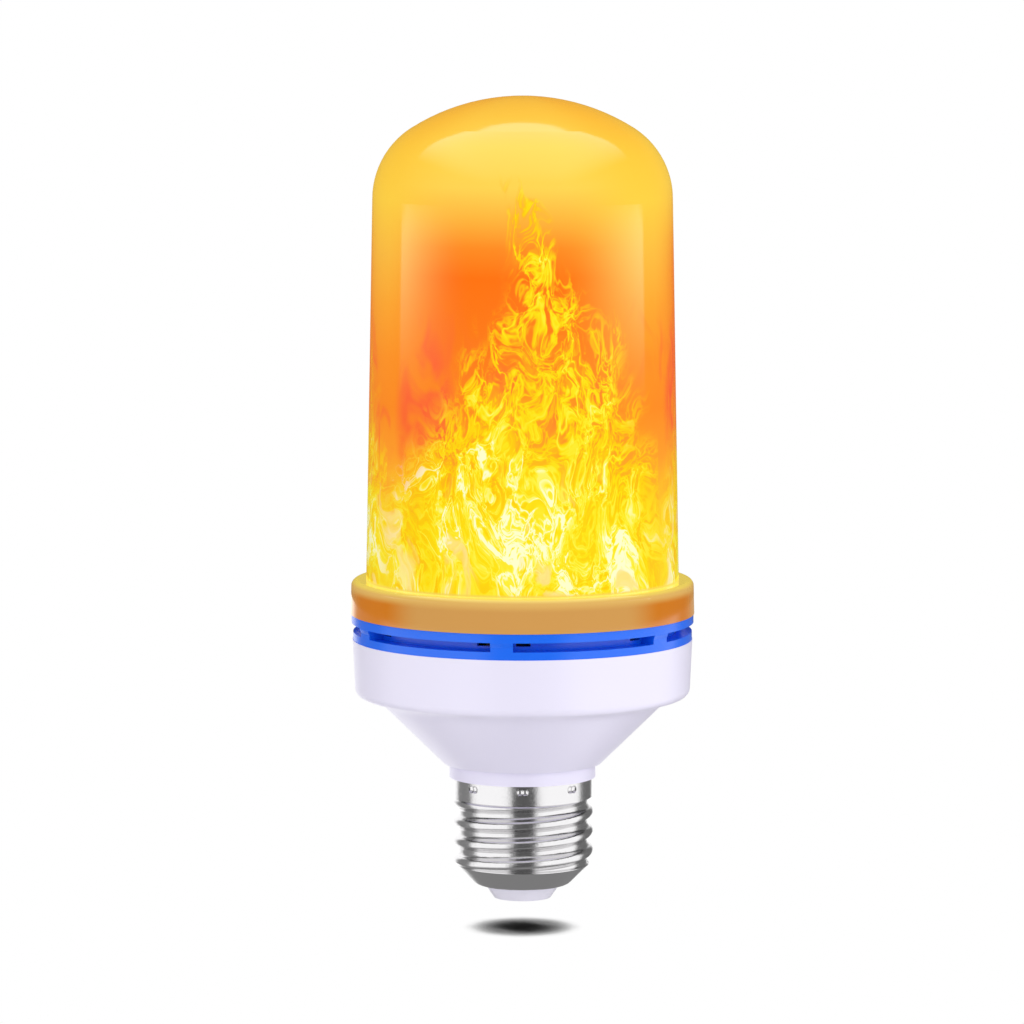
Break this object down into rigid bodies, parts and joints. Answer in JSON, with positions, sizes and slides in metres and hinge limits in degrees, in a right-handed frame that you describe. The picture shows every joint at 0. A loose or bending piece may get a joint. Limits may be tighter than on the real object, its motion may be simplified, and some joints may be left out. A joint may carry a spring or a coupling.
{
  "type": "flame effect led bulb",
  "caption": "Tall frosted cylinder lamp with a domed end, a flame-pattern LED column inside, a slotted vent ring, a conical housing and an Edison screw cap.",
  "frame": {"origin": "centre of the end contact's flat face, on the bulb's axis at its lowest point", "axes": "+Z along the bulb's axis from the end contact to the domed cover; -Y towards the picture's camera"},
  "size_m": [0.0638, 0.0638, 0.1495],
  "materials": {
    "frosted_cover": "frosted polycarbonate lit from inside by the flame pattern",
    "ring_plastic": "glossy blue moulding",
    "housing_plastic": "satin white moulding",
    "plated_sheet": "nickel plated rolled sheet",
    "insulator": "pale moulded insulator",
    "contact_metal": "nickel plated contact",
    "inner_plastic": "white moulding",
    "flex_laminate": "white solder resist",
    "led_package": "white package with an amber lens",
    "chip_plastic": "black moulding",
    "board_laminate": "green solder resist",
    "capacitor_sleeve": "dark shrink sleeve",
    "ferrite": "dark sintered ferrite",
    "copper_wire": "enamelled copper wire",
    "film_case": "dipped red coating",
    "resistor_body": "lacquered barrel",
    "zinc_steel": "zinc plated",
    "lead_red": "soft insulation",
    "lead_black": "soft insulation"
  },
  "bodies": {
    "root": {"diffuser_cover": "frosted_cover", "vent_ring": "ring_plastic", "base_housing": "housing_plastic", "screw_shell": "plated_sheet", "cap_insulator": "insulator", "end_contact": "contact_metal", "led_carrier": "inner_plastic", "led_flex_board": "flex_laminate", "flame_leds": "led_package", "led_crown_board": "flex_laminate", "crown_leds": "led_package", "controller_chip": "chip_plastic", "driver_board": "board_laminate", "smoothing_capacitor": "capacitor_sleeve", "output_capacitor": "capacitor_sleeve", "choke_core": "ferrite", "choke_winding": "copper_wire", "film_capacitor": "film_case", "bridge_rectifier": "chip_plastic", "converter_chip": "chip_plastic", "fuse_resistor": "resistor_body", "board_screws": "zinc_steel", "carrier_screws": "zinc_steel", "live_lead": "lead_red", "neutral_lead": "lead_black", "supply_lead_positive": "lead_red", "supply_lead_negative": "lead_black"}
  },
  "joints": []
}
